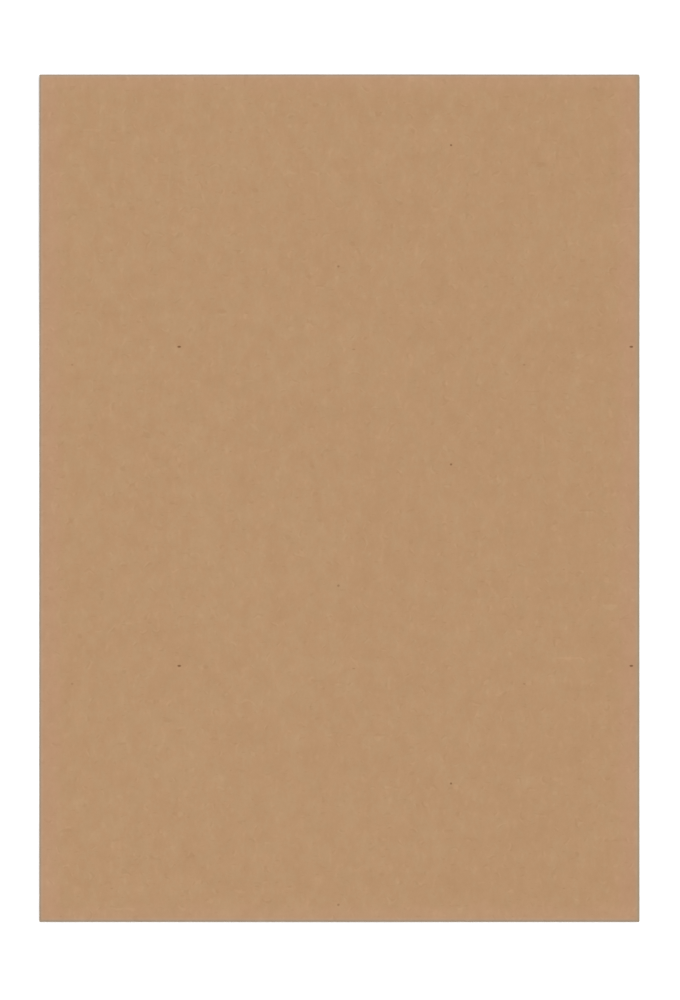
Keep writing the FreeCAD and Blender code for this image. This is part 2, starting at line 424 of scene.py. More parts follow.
def spine_rows():
    """Arrays of y, depth, half width, length along the blank and name of the part, flap to flap."""
    relief = np.linspace(RELIEF_START, FOOT_SETBACK, RELIEF_ROWS)
    foot_q = flap_steps(FOOT_FLAP, FOOT_FLAP["length"] - relief)
    rivet = FLAP_BUTTON[1] - (HEAD_Y - TOP_FLAP["length"]) + RIVET_STEPS
    head_q = flap_steps(TOP_FLAP, rivet)[::-1]
    foot_a = fold_angles()[::-1]
    head_a = fold_angles()
    front = FOOT_Y + SHARES * (HEAD_Y - FOOT_Y)
    foot_turn, head_turn = np.pi * FOOT_RADIUS, np.pi * HEAD_RADIUS
    parts = {
        # y, depth, half width, length along the blank
        "bottom flap": (FOOT_Y + FOOT_FLAP["length"] - foot_q, 0 * foot_q + SEAM_DEPTH,
                        half_width(FOOT_FLAP, foot_q),
                        FOOT_Y - foot_turn - FOOT_FLAP["length"] + foot_q),
        "foot fold": (FOOT_Y - FOOT_RADIUS * np.sin(foot_a), FOOT_RADIUS * (1 - np.cos(foot_a)),
                      fold_half_width(foot_a), FOOT_Y - FOOT_RADIUS * foot_a),
        "front": (front, 0 * front, 0 * front + EDGE_X, front),
        "head fold": (HEAD_Y + HEAD_RADIUS * np.sin(head_a), HEAD_RADIUS * (1 - np.cos(head_a)),
                      fold_half_width(head_a), HEAD_Y + HEAD_RADIUS * head_a),
        "closing flap": (HEAD_Y - TOP_FLAP["length"] + head_q, 0 * head_q + FLAP_DEPTH,
                         half_width(TOP_FLAP, head_q),
                         HEAD_Y + head_turn + TOP_FLAP["length"] - head_q),
    }
    columns = [np.concatenate(column) for column in zip(*parts.values())]
    names = np.repeat(list(parts), [len(rows[0]) for rows in parts.values()])
    return columns + [names]


def seam_relief(x, y):
    """How far the bottom flap rides up over the lapped seam: 1 on it, 0 beside it and at the fold."""
    across = smooth(SEAM_HALF + JOGGLE, SEAM_HALF, np.abs(x))
    return across * smooth(FOOT_Y + RELIEF_START, FOOT_Y + FOOT_SETBACK, y)


# %% Spine grid
# Columns within CORE_X run straight along the blank, and those further out draw in with a flap.
CORE_X = 60.0


def spine_grid():
    """Places of the spine, an array of (x, y, depth, u, v), and the name of each row's part.

    Past CORE_X a column keeps its share of the way from there to the row's half width."""
    y, depth, half, length, part = spine_rows()
    out = np.clip(np.abs(COLUMNS) - CORE_X, 0, None) / (EDGE_X - CORE_X)
    x = np.sign(COLUMNS) * (np.minimum(np.abs(COLUMNS), CORE_X) + out * (half[:, None] - CORE_X))
    y = np.broadcast_to(y[:, None], x.shape)
    depth = depth[:, None] + 0 * x
    depth = depth + (PAPER + GLUE) * (part == "bottom flap")[:, None] * seam_relief(x, y)
    v = np.broadcast_to(length[:, None], x.shape)
    return np.stack([x, y, depth, x, v], -1), part


# %% [markdown]
# ### The side panels
# Each side panel starts at the front panel's long edge, turns round the side fold and runs
# across the back. The right one stops at the seam, and the left one steps up over it by one
# paper thickness, the joggle, and is glued down there.

# %% Side panel grid


def side_grid(side):
    """Places of a side panel beyond the front panel's edge.

    They are worked out for the right one, side 1, and mirrored for the left one, side -1, which
    alone steps over the other."""
    turn = fold_angles()
    back_x = COLUMNS[::-1][COLUMNS[::-1] >= -SEAM_HALF]
    inset = np.concatenate([0 * turn, EDGE_X - back_x])
    x = np.concatenate([EDGE_X + SIDE_RADIUS * np.sin(turn), back_x])
    depth = np.concatenate([SIDE_RADIUS * (1 - np.cos(turn)), 0 * back_x + BACK_DEPTH])
    turned = np.concatenate([turn, 0 * back_x + np.pi])
    ear = EAR * np.sin(turned)
    low = FOOT_Y + np.minimum(inset, FOOT_SETBACK) - ear
    high = throat_y(np.minimum(x, EDGE_X)) + ear
    if side < 0:
        depth = depth + (PAPER + GLUE) * smooth(SEAM_HALF + JOGGLE, SEAM_HALF, x)
    y = low + SHARES[:, None] * (high - low)
    x, depth, u = (row + 0 * y for row in (x, depth, EDGE_X + SIDE_RADIUS * turned + inset))
    return np.stack([side * x, y, depth, side * u, y], -1)


# %% [markdown]
# ### Holes for the rivets
# Each rivet passes through the paper. A round hole in a square grid needs a small trick: the
# cells round the hole's centre are left out, and the square gap is filled with a ring of faces
# that runs from the gap's edge to the circle.

# %% Grids to faces
RIVET_HOLE = 2.3
STEP_SLACK = 0.5


def pierced(grid, index, flip, hole_at):
    """Faces of a grid with a round hole, and the places of the hole's rim: each lies on the line
    from the centre to a place on the gap's edge, at the hole's radius.

    The gap reaches to the outermost rivet steps, found with a little slack."""
    near = (np.abs(grid[..., :2] - hole_at) < RIVET_STEPS[-1] + STEP_SLACK).all(-1)
    rows, columns = np.where(near.any(1))[0], np.where(near.any(0))[0]
    r0, r1, c0, c1 = rows[0], rows[-1], columns[0], columns[-1]
    keep = np.ones((index.shape[0] - 1, index.shape[1] - 1), bool)
    keep[r0:r1, c0:c1] = False
    faces = quads(index, flip)[keep.ravel()]
    # The rows and columns of the gap's edge, once round it.
    edge_r = np.concatenate([np.full(c1 - c0, r0), np.arange(r0, r1),
                             np.full(c1 - c0, r1), np.arange(r1, r0, -1)])
    edge_c = np.concatenate([np.arange(c0, c1), np.full(r1 - r0, c1),
                             np.arange(c1, c0, -1), np.full(r1 - r0, c0)])
    middle = grid[(r0 + r1) // 2, (c0 + c1) // 2]
    spoke = grid[edge_r, edge_c] - middle
    rim = middle + spoke * (RIVET_HOLE / np.hypot(spoke[:, 0], spoke[:, 1]))[:, None]
    rim_index = index.max() + 1 + np.arange(len(rim))
    loop = np.stack([np.append(rim_index, rim_index[0]),
                     np.append(index[edge_r, edge_c], index[r0, c0])])
    return np.concatenate([faces, quads(loop, not flip)]), rim


# %% Join the grids into one skin


def folded_skin():
    """Outer skin of the whole sheet: its places, (x, y, depth, u, v), and its faces.

    The side panels share the front panel's edge places, so the skin is one piece."""
    spine, part = spine_grid()
    index = np.arange(spine[..., 0].size).reshape(spine.shape[:2])
    flap = part == "closing flap"
    faces, rim = pierced(spine[flap], index[flap], False, FLAP_BUTTON)
    rest = quads(index[: flap.argmax() + 1])
    places = [spine.reshape(-1, 5), rim]
    all_faces = [rest, faces]
    front = np.where(part == "front")[0]
    for side, edge_column in ((1, -1), (-1, 0)):
        panel = side_grid(side)
        start = sum(len(block) for block in places)
        own = start + np.arange(panel[..., 0].size).reshape(panel.shape[:2])
        joined = np.concatenate([index[front, edge_column][:, None], own], 1)
        whole = np.concatenate([spine[front, edge_column][:, None], panel], 1)
        faces, rim = pierced(whole, joined, side < 0, BACK_BUTTON)
        places += [panel.reshape(-1, 5), rim]
        all_faces.append(faces)
    return only_used(np.concatenate(places), np.concatenate(all_faces))


def only_used(places, faces):
    """The places that some face uses, and the faces renumbered: the holes leave a few unused."""
    used, renumbered = np.unique(faces, return_inverse=True)
    return places[used], renumbered.reshape(faces.shape)


skin, skin_faces = folded_skin()
print("the skin has", len(skin), "places and", len(skin_faces), "faces")

# %% [markdown]
# ### From skin to paper
# The skin gets the paper's thickness: every place is copied inwards along its normal, and the
# open edges are closed with a strip of faces. Those strips are the cut edges of the paper.

# %% Give the skin its thickness


def normals(points, faces):
    """Unit normal at each place: the sum of its faces' normals, each the cross of two diagonals."""
    across = points[faces[:, 2]] - points[faces[:, 0]]
    along = points[faces[:, 3]] - points[faces[:, 1]]
    face_normal = np.cross(across, along)
    total = np.zeros_like(points)
    for corner in range(4):
        np.add.at(total, faces[:, corner], face_normal)
    return total / np.linalg.norm(total, axis=1, keepdims=True)


def thickened(points, faces, thickness):
    """Closed solid: the skin, its copy set inwards, and a face over each edge that only one face uses.

    The strip over the open edges comes last, and its number of faces is given too."""
    count = len(points)
    inner = points - thickness * normals(points, faces)
    start = faces.ravel()
    end = np.roll(faces, -1, 1).ravel()
    open_edge = ~np.isin(start * count + end, end * count + start)
    a, b = start[open_edge], end[open_edge]
    strip = np.stack([b, a, a + count, b + count], 1)
    all_faces = np.concatenate([faces, faces[:, ::-1] + count, strip])
    return np.concatenate([points, inner]), all_faces, len(strip)


# %% Put a surface into Blender
SHARP_TURN = math.radians(35)


def make_mesh(name, points, faces, body="root"):
    """A Blender object from places in millimetres and faces, smooth but where it turns sharply."""
    mesh = bpy.data.meshes.new(name)
    mesh.from_pydata((points * MM).tolist(), [], faces.tolist())
    mesh.shade_smooth()
    mesh.set_sharp_from_angle(angle=SHARP_TURN)
    mesh.validate()
    piece = bpy.data.objects.new(name, mesh)
    bpy.context.scene.collection.objects.link(piece)
    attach(piece, body)
    print(name, "has", len(mesh.polygons), "faces")
    return piece


def keep_places(piece, name, places):
    """Stores a place for each vertex, from millimetres, for a material to read by that name."""
    kept = piece.data.attributes.new(name, "FLOAT_VECTOR", "POINT")
    kept.data.foreach_set("vector", (places * MM).astype(np.float32).ravel())


# %% Make the envelope


def make_envelope():
    """The folded paper, laid over its buttons. It keeps its places on the blank for its pattern."""
    x, y, depth, u, v = skin.T
    points = np.stack([x, y, face_height(x, y) - depth], 1)
    points, faces, strip = thickened(points, skin_faces, PAPER)
    piece = make_mesh("folded_paper", points, faces)
    keep_places(piece, "blank", np.tile(np.stack([u, v, 0 * u], 1), (2, 1)))
    cut = piece.data.attributes.new("cut_edge", "FLOAT", "FACE")
    on_strip = np.arange(len(faces)) >= len(faces) - strip
    cut.data.foreach_set("value", on_strip.astype(np.float32))
    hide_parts("envelope_sheet")
    return piece


envelope = make_envelope()
low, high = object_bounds()
print("the laid paper is from", round(low[2] / MM, 2), "to", round(high[2] / MM, 2), "mm high")

# %% [markdown]
# ## Buttons and rivets
# A button is a disc punched from hard fibre board, and an eyelet rivets it on: a thin brass tube
# whose ends are rolled over. All four pieces are round, so each is one closed section carried
# round an axis. Turning a section needs no poles to close, because each has a hole.

# %% Turned pieces
TURNS = 72


def turned(section, centre):
    """Ring made by carrying a closed section, an array of (radius, height), round an upright axis."""
    angle = np.linspace(0, 2 * np.pi, TURNS, endpoint=False)[:, None]
    radius, height = section[:, 0], section[:, 1]
    x = centre[0] + radius * np.cos(angle)
    y = centre[1] + radius * np.sin(angle)
    points = np.stack([x, y, height + 0 * angle], -1).reshape(-1, 3)
    index = np.arange(len(points)).reshape(TURNS, len(section))
    index = np.concatenate([index, index[:1]])
    index = np.concatenate([index, index[:, :1]], 1)
    return points, quads(index, flip=True)


CORNER_STEPS = 5


def rounded(outline):
    """Closed outline with rounded corners, from a table of (radius, height, how rounded).

    Round a corner c it is (1-t)^2 a + 2t(1-t) c + t^2 b, where a and b lie before and after c, as
    far away as the third value says."""
    corners, reach = np.array(outline)[:, :2], np.array(outline)[:, 2:]
    before, after = np.roll(corners, 1, 0) - corners, np.roll(corners, -1, 0) - corners
    a = corners + before / np.linalg.norm(before, axis=1, keepdims=True) * reach
    b = corners + after / np.linalg.norm(after, axis=1, keepdims=True) * reach
    t = np.linspace(0, 1, CORNER_STEPS)[:, None, None]
    arcs = (1 - t) ** 2 * a + 2 * t * (1 - t) * corners + t**2 * b
    return arcs.transpose(1, 0, 2).reshape(-1, 2)


# %% Buttons
# The eyelet's head has pressed a shallow DIMPLE into the board, with a lip half a mm wide.
EYELET_HEAD = 4.2
DIMPLE = 0.04
DIMPLE_LIP = 0.5


def make_button(name, node, paper_depth):
    """Fibre disc from its CAD node's base up to the paper. Tumbling has rounded its punched edges."""
    low, high = node_box(node)
    radius, bottom, top = (high[0] - low[0]) / 2, low[2], FACE_HEIGHT - paper_depth
    outline = [
        # radius, height, how rounded
        (RIVET_HOLE, top, 0.05),
        (RIVET_HOLE, bottom + DIMPLE, 0.05),
        (EYELET_HEAD, bottom + DIMPLE, 0.1),
        (EYELET_HEAD + DIMPLE_LIP, bottom, 0.15),
        (radius, bottom, 0.22),
        (radius, top, 0.12),
    ]
    points, faces = turned(rounded(outline), (low[:2] + high[:2]) / 2)
    piece = make_mesh(name, points, faces)
    keep_places(piece, "from_centre", points - (low + high) / 2)
    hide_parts(node)
    return piece


buttons = [
    make_button("flap_disc", "flap_button", FLAP_DEPTH),
    make_button("back_disc", "back_button", SEAM_DEPTH),
]

# %% Eyelets
BORE = 1.95
BARREL = 2.2
CLINCH_RADIUS = 3.6
HEAD_RISE = 0.5
CLINCH_RISE = 0.4
LIP_STEPS = 18


def rolled_lip(inner, outer, seat, rise):
    """Half ellipse over a ring seat, from the bore to the lip's rim: thin sheet rolled over."""
    angle = np.linspace(0, np.pi, LIP_STEPS)
    middle, half = (inner + outer) / 2, (outer - inner) / 2
    return np.stack([middle - half * np.cos(angle), seat + rise * np.sin(angle)], 1)


def make_eyelet(name, node):
    """Brass eyelet that fills its CAD node's box: a head below, a barrel, and a clinched rim above."""
    low, high = node_box(node)
    head = rolled_lip(BORE, EYELET_HEAD, low[2] + HEAD_RISE, -HEAD_RISE)
    clinch = rolled_lip(BORE, CLINCH_RADIUS, high[2] - CLINCH_RISE, CLINCH_RISE)[::-1]
    barrel = np.array([(BARREL, low[2] + HEAD_RISE), (BARREL, high[2] - CLINCH_RISE)])
    section = np.concatenate([head, barrel, clinch])
    points, faces = turned(section, (low[:2] + high[:2]) / 2)
    piece = make_mesh(name, points, faces)
    keep_places(piece, "from_centre", points - (low + high) / 2)
    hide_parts(node)
    return piece


eyelets = [make_eyelet("flap_rivet", "flap_eyelet"), make_eyelet("back_rivet", "back_eyelet")]

# %% [markdown]
# ## Finishes
# Paper, board and metal look like themselves because they are uneven, so the finish of each has
# the same four parts: grains of noise at real sizes, shades laid over a ground colour, a bump and
# a roughness. Colours are written as the screen shows them, as hex values, and one function turns
# them to the linear values that a shader wants.

# %% Helpers for finishes


def linear(hex_colour):
    """Screen colour to linear: c / 12.92 when small, otherwise ((c + 0.055) / 1.055) ^ 2.4."""
    screen = np.array([int(hex_colour[k : k + 2], 16) for k in (1, 3, 5)]) / 255
    value = np.where(screen <= 0.04045, screen / 12.92, ((screen + 0.055) / 1.055) ** 2.4)
    return (*value.tolist(), 1.0)


def new_material(name, kept):
    """A node material: itself, its tree, its main shader, and the place in mm that its patterns read."""
    material = bpy.data.materials.new(name)
    material.use_nodes = True
    tree = material.node_tree
    attribute = add_node(tree, "ShaderNodeAttribute", {"attribute_name": kept})
    place = add_node(
        tree,
        "ShaderNodeVectorMath",
        {"operation": "SCALE"},
        {"Vector": attribute.outputs["Vector"]},
        {"Scale": 1 / MM},
    )
    return material, tree, tree.nodes["Principled BSDF"], place.outputs["Vector"]


def lay_grains(tree, place, grains):
    """A noise for each row of a table of grains: its size in mm, shift, octaves and roughness."""
    noises = {}
    for name, (size, shift, octaves, roughness) in grains.items():
        stretched = add_node(
            tree,
            "ShaderNodeMapping",
            {"label": name},
            {"Vector": place},
            {"Location": (shift, 0, shift), "Scale": tuple(1 / side for side in size)},
        )
        noise = add_node(
            tree,
            "ShaderNodeTexNoise",
            {"label": name},
            {"Vector": stretched.outputs["Vector"]},
            {"Scale": 1.0, "Detail": octaves, "Roughness": roughness},
        )
        noises[name] = noise.outputs["Fac"]
    return noises


def lay_shades(tree, ground, shades):
    """A ground colour with shades over it: each is as strong as its value has gone from start to full."""
    colour = add_node(tree, "ShaderNodeRGB").outputs[0]
    colour.default_value = linear(ground)
    for name, value, start, full, most, shade in shades:
        share = add_node(
            tree,
            "ShaderNodeMapRange",
            {"label": name, "interpolation_type": "SMOOTHSTEP"},
            {"Value": value},
            {"From Min": start, "From Max": full, "To Max": most},
        )
        # The colour sockets of a Mix node are its inputs 6 and 7 and its output 2.
        mixed = add_node(
            tree,
            "ShaderNodeMix",
            {"label": name, "data_type": "RGBA"},
            {0: share.outputs["Result"], 6: colour},
            {7: linear(shade)},
        )
        colour = mixed.outputs[2]
    return colour


def radius_in_plan(tree, place):
    """Distance from a piece's upright axis: the length of (x, y, 0)."""
    flat = add_node(tree, "ShaderNodeVectorMath", {"operation": "MULTIPLY"}, {0: place}, {1: (1, 1, 0)})
    reach = add_node(tree, "ShaderNodeVectorMath", {"operation": "LENGTH"}, {0: flat.outputs["Vector"]})
    return reach.outputs["Value"]


def cover(pieces, material):
    """Gives each piece one material."""
    for piece in pieces:
        piece.data.materials.clear()
        piece.data.materials.append(material)


# %% [markdown]
# ### Floor
# The floor is a studio's paper sweep. It is lit as the envelope is, and glows faintly besides, so
# that it stays white at grazing angles and sends a little light up to the folded edges.

# %% Floor
FLOOR_GLOW = 0.12
sweep = bpy.data.materials.new("white_paper_sweep")
sweep.use_nodes = True
shader = sweep.node_tree.nodes["Principled BSDF"]
shader.inputs["Base Color"].default_value = linear("#FFFFFF")
shader.inputs["Roughness"].default_value = 1.0
shader.inputs["Specular IOR Level"].default_value = 0.0
shader.inputs["Emission Color"].default_value = linear("#FFFFFF")
shader.inputs["Emission Strength"].default_value = FLOOR_GLOW
cover([floor], sweep)
print("the floor is white and glows at", FLOOR_GLOW)

# %% [markdown]
# ### Unbleached kraft paper
# Kraft is made of long brown softwood fibres that settle on a moving wire, and it is pressed and
# dried without bleach or coating. That gives a warm, matt tan that is never quite even. There are
# clouds where more fibre settled, two close hues, short fibres that catch the light, and a few
# dark specks of bark, which papermakers call shives. The patterns could be read at each point's
# place in the room, but then they would break at the folds. They read the "blank" attribute
# instead, the place on the flat sheet, so they run round a fold as they do on real paper.
#
# Most grains are longer along the web, the direction in which the paper ran through the machine.
# Real fibres are 0.03 mm wide. They are drawn about a millimetre wide here, because thinner ones
# would not show. The tooth, the roughness that a pen feels, is drawn at half a millimetre for the
# same reason.

# %% Kraft paper: its grains
KRAFT_GRAINS = {
    # size along x, y and z in mm, shift, octaves, roughness
    "clouds": ((7.4, 10.4, 1.0), 3.0, 4.0, 0.8),
    "broad clouds": ((32.0, 42.0, 1.0), 6.0, 1.0, 0.5),
    "hue": ((7.2, 11.0, 1.0), 21.0, 4.0, 0.8),
    "light fibres": ((2.4, 4.6, 1.0), 5.1, 1.0, 0.5),
    "dark fibres": ((2.8, 0.9, 1.0), 8.8, 1.0, 0.5),
    "curl lines": ((5.0, 5.5, 1.0), 14.0, 0.0, 0.5),
    "curl places": ((4.6, 3.6, 1.0), 17.0, 0.0, 0.5),
    "tooth": ((0.45, 0.7, 1.0), 2.0, 2.0, 0.6),
}
kraft, tree, shader, on_sheet = new_material("unbleached_kraft_paper", "blank")
grains = lay_grains(tree, on_sheet, KRAFT_GRAINS)
widths = [size[0] for size, *_ in KRAFT_GRAINS.values()]
print("the paper has", len(grains), "grains, from", min(widths), "to", max(widths), "mm wide")

# %% [markdown]
# The two hues are so close that a patch of redder fibre is felt more than seen. The grain named
# hue chooses between them, helped a little by the broad clouds and by a gradient across the sheet:
# the paper is redder and a trace darker towards its right side.

# %% Kraft paper: which hue
KRAFT_RED = "#AE8965"
KRAFT_YELLOW = "#AD8C68"
GRADIENT_HALF = 60.0
GRADIENT_STEP = 0.02
BROAD_SHARE = 0.22
split = add_node(tree, "ShaderNodeSeparateXYZ", links={0: on_sheet})
# A gradient across the sheet: redder and a trace darker towards the right.
cross_gradient = add_node(
    tree,
    "ShaderNodeMapRange",
    {"label": "cross_gradient", "interpolation_type": "SMOOTHSTEP"},
    {"Value": split.outputs["X"]},
    {"From Min": -GRADIENT_HALF, "From Max": GRADIENT_HALF, "To Min": GRADIENT_STEP, "To Max": -GRADIENT_STEP},
)
broad = add_node(
    tree,
    "ShaderNodeMath",
    {"operation": "MULTIPLY_ADD"},
    {0: grains["broad clouds"], 2: cross_gradient.outputs["Result"]},
    {1: BROAD_SHARE},
)
hue = add_node(
    tree,
    "ShaderNodeMath",
    {"label": "hue", "operation": "ADD"},
    {0: grains["hue"], 1: broad.outputs["Value"]},
)
print("the paper's two hues are", KRAFT_RED, "and", KRAFT_YELLOW)

# %% [markdown]
# A folded edge is painted darker, a painted shade that stands in for the fold curving away from the
# light, and the paper beside it is a little paler and pinker. So each place needs its distance from
# the nearest fold, measured along the sheet: first across it, and then along it. The pink band has
# no straight edge, so it reads a distance that the hue grain has made ragged.

# %% Kraft paper: distance from the folds
SIDE_LINE = EDGE_X + SIDE_RADIUS * math.pi / 2
FOOT_LINE = FOOT_Y - FOOT_RADIUS * math.pi / 2
HEAD_LINE = HEAD_Y + HEAD_RADIUS * math.pi / 2
BAND_RAGGED = 16.0
FOLDS = [
    # name, axis across it, and the steps to subtract, each made positive after
    ("sides", "X", (0.0, SIDE_LINE)),
    ("ends", "Y", ((FOOT_LINE + HEAD_LINE) / 2, (HEAD_LINE - FOOT_LINE) / 2)),
    ("right", "X", (SIDE_LINE,)),
]
from_fold = {}
for name, axis, steps in FOLDS:
    value = split.outputs[axis]
    for step in steps:
        moved = add_node(tree, "ShaderNodeMath", {"operation": "SUBTRACT"}, {0: value}, {1: step})
        value = add_node(tree, "ShaderNodeMath", {"operation": "ABSOLUTE"}, {0: moved.outputs["Value"]})
        value = value.outputs["Value"]
    from_fold[name] = value
    ragged = add_node(
        tree,
        "ShaderNodeMath",
        {"operation": "MULTIPLY_ADD"},
        {0: grains["hue"], 2: value},
        {1: BAND_RAGGED},
    )
    from_fold["ragged " + name] = ragged.outputs["Value"]
print("folds at", round(SIDE_LINE, 1), round(FOOT_LINE, 1), round(HEAD_LINE, 1), "mm on the blank")

# %% [markdown]
# A shive is drawn as a small soft ellipse. The pulp is the same all along the web, so the same
# few specks come back at even distances: the place on the sheet is wrapped into one cell, and
# each speck is drawn once in that cell.

# %% Kraft paper: shives
CELL_LOW = (-120.0, -60.0, -1.0)
CELL_SIZE = (188.3, 132.9, 2.0)
SHIVE_CORE = 0.4
SHIVES = [
    # x and y in the cell, length and width, turn in degrees, how dark
    (-66.7, 63.1, 2.2, 1.2, 0, 0.9),
    (46.5, 14.1, 1.4, 1.3, 0, 0.72),
    (-0.4, -36.4, 1.6, 1.5, 20, 0.5),
    (-111.3, 55.6, 1.7, 1.2, 0, 0.38),
    (-45.3, 19.5, 1.4, 1.0, 30, 0.28),
    (-94.8, -29.6, 1.6, 0.9, 0, 0.3),
    (-116.1, -41.3, 1.2, 1.0, 0, 0.28),
    (6.0, 62.0, 2.0, 0.9, 0, 0.4),
    (-36.1, 7.4, 1.4, 1.0, -30, 0.22),
]
cell = add_node(
    tree,
    "ShaderNodeVectorMath",
    {"operation": "WRAP"},
    {0: on_sheet},
    {1: tuple(low + size for low, size in zip(CELL_LOW, CELL_SIZE)), 2: CELL_LOW},
)
specks = None
for x, y, length, width, turn, dark in SHIVES:
    own = add_node(
        tree,
        "ShaderNodeMapping",
        {"vector_type": "TEXTURE"},
        {"Vector": cell.outputs["Vector"]},
        {
            "Location": (x, y, 0),
            "Rotation": (0, 0, math.radians(turn)),
            "Scale": (length / 2, width / 2, 1),
        },
    )
    reach = add_node(tree, "ShaderNodeVectorMath", {"operation": "LENGTH"}, {0: own.outputs["Vector"]})
    speck = add_node(
        tree,
        "ShaderNodeMapRange",
        {"interpolation_type": "SMOOTHSTEP"},
        {"Value": reach.outputs["Value"]},
        {"From Min": 1.0, "From Max": SHIVE_CORE, "To Max": dark},
    ).outputs["Result"]
    if specks is not None:
        speck = add_node(tree, "ShaderNodeMath", {"operation": "MAXIMUM"}, {0: specks, 1: speck})
        speck = speck.outputs["Value"]
    specks = speck
print(len(SHIVES), "shives in each", CELL_SIZE[0], "by", CELL_SIZE[1], "mm of paper")

# %% [markdown]
# Some fibres have curled as they dried, and stand up from the sheet as fine hooked lines, lit on one
# side and shaded on the other. Each could be a curve, but there are thousands. Where a soft noise
# passes its middle value it draws one long winding line, so the line comes for nothing: a sine
# across that line paints its highlight on one side and its shade on the other into the colour, and
# a second noise breaks it into short hooks.

# %% Kraft paper: curled fibres
CURL_MIDDLE = 0.5
CURL_WIDTH = 0.1
CURL_SPARSE = (0.66, 0.72)
across_line = add_node(
    tree,
    "ShaderNodeMapRange",
    links={"Value": grains["curl lines"]},
    inputs={
        "From Min": CURL_MIDDLE - CURL_WIDTH,
        "From Max": CURL_MIDDLE + CURL_WIDTH,
        "To Min": -math.pi,
        "To Max": math.pi,
    },
)
# The sine paints each curled fibre's highlight on one side and its shade on the other into the colour.
painted_curl_light_and_shade = add_node(tree, "ShaderNodeMath", {"operation": "SINE"}, {0: across_line.outputs["Result"]})
shown = add_node(
    tree,
    "ShaderNodeMapRange",
    {"interpolation_type": "SMOOTHSTEP"},
    {"Value": grains["curl places"]},
    {"From Min": CURL_SPARSE[0], "From Max": CURL_SPARSE[1]},
)
curl_highlight_and_shade = add_node(
    tree,
    "ShaderNodeMath",
    {"operation": "MULTIPLY"},
    {0: painted_curl_light_and_shade.outputs["Value"], 1: shown.outputs["Result"]},
)
print("curled fibres show where the noise of their places is over", CURL_SPARSE[0])

# %% [markdown]
# The shades lie over one another in this order: the second hue, the bands along the folds, the
# shives, and last the cut edge. The darkest bands along the folds are painted shade, for the folds
# curving away from the light, and the right fold has a wider painted shade band of its own. The cut
# edge shows the inside of the sheet, a little torn by the die, so it is paler. Light and dark are
# not shades but factors near 1: each row of the second table turns a grain into one, and the colour
# is multiplied by them all. The curled fibres' row among them paints a highlight and a shade.
# Thicker fibre takes more out of blue than out of red, so the product is stretched about 1 for each
# colour apart.

# %% Kraft paper: colour
cut = add_node(tree, "ShaderNodeAttribute", {"attribute_name": "cut_edge"})
KRAFT_SHADES = [
    # name, value, where it starts and is full, largest share, shade
    ("yellow fibre", hue.outputs["Value"], 0.618, 0.638, 0.62, KRAFT_YELLOW),
    ("pink beside the side folds", from_fold["ragged sides"], 19.0, 14.0, 0.5, "#B28A6D"),
    ("pink beside the end folds", from_fold["ragged ends"], 17.0, 12.0, 0.5, "#B28C6C"),
    ("pale side folds", from_fold["sides"], 2.4, 0.9, 0.9, "#AF9077"),
    ("pale end folds", from_fold["ends"], 2.6, 1.1, 0.9, "#AF9077"),
    # The next three rows are painted shade: darker bands where the folds curve away from the light, the
    # right one wider.
    ("painted shade on the side folds", from_fold["sides"], 1.4, 0.8, 0.9, "#9A8771"),
    ("painted shade on the end folds", from_fold["ends"], 1.6, 0.9, 0.9, "#9A8771"),
    ("painted shade on the right fold", from_fold["right"], 3.2, 0.8, 0.3, "#988B6E"),
    ("shives", specks, 0.0, 1.0, 0.85, "#6A4421"),
    ("cut edge", cut.outputs["Fac"], 0.0, 1.0, 0.7, "#C2A07A"),
]
KRAFT_TONES = [
    # value, read from and to, factor there
    (grains["clouds"], 0.25, 0.75, 0.931, 1.055),
    (grains["broad clouds"], 0.3, 0.7, 0.992, 1.008),
    (grains["light fibres"], 0.57, 0.8, 1.0, 1.065),
    (grains["dark fibres"], 0.66, 0.8, 1.0, 0.91),
    # Painted highlight and painted shade of the curled fibres.
    (curl_highlight_and_shade.outputs["Value"], -1.0, 1.0, 0.933, 1.067),
    # A trace darker towards the right of the sheet.
    (cross_gradient.outputs["Result"], -GRADIENT_STEP, GRADIENT_STEP, 0.991, 1.002),
]
TONE_STRETCH = (0.81, 1.0, 1.28)
colour = lay_shades(tree, KRAFT_RED, KRAFT_SHADES)
tone = None
for value, start, full, first, last in KRAFT_TONES:
    factor = add_node(
        tree,
        "ShaderNodeMapRange",
        links={"Value": value},
        inputs={"From Min": start, "From Max": full, "To Min": first, "To Max": last},
    ).outputs["Result"]
    if tone is not None:
        factor = add_node(tree, "ShaderNodeMath", {"operation": "MULTIPLY"}, {0: tone, 1: factor})
        factor = factor.outputs["Value"]
    tone = factor
stretched = add_node(
    tree,
    "ShaderNodeVectorMath",
    {"operation": "MULTIPLY_ADD"},
    {0: tone},
    {1: TONE_STRETCH, 2: tuple(1 - stretch for stretch in TONE_STRETCH)},
)
lit = add_node(
    tree,
    "ShaderNodeVectorMath",
    {"operation": "MULTIPLY"},
    {0: colour, 1: stretched.outputs["Vector"]},
)
tree.links.new(lit.outputs["Vector"], shader.inputs["Base Color"])
print("the paper has", len(KRAFT_SHADES), "shades and", len(KRAFT_TONES), "tones")

# %% [markdown]
# The surface is matt. Where more fibre settled it was pressed a little smoother. The bump is the
# tooth alone, because the cockles are already in the shape.

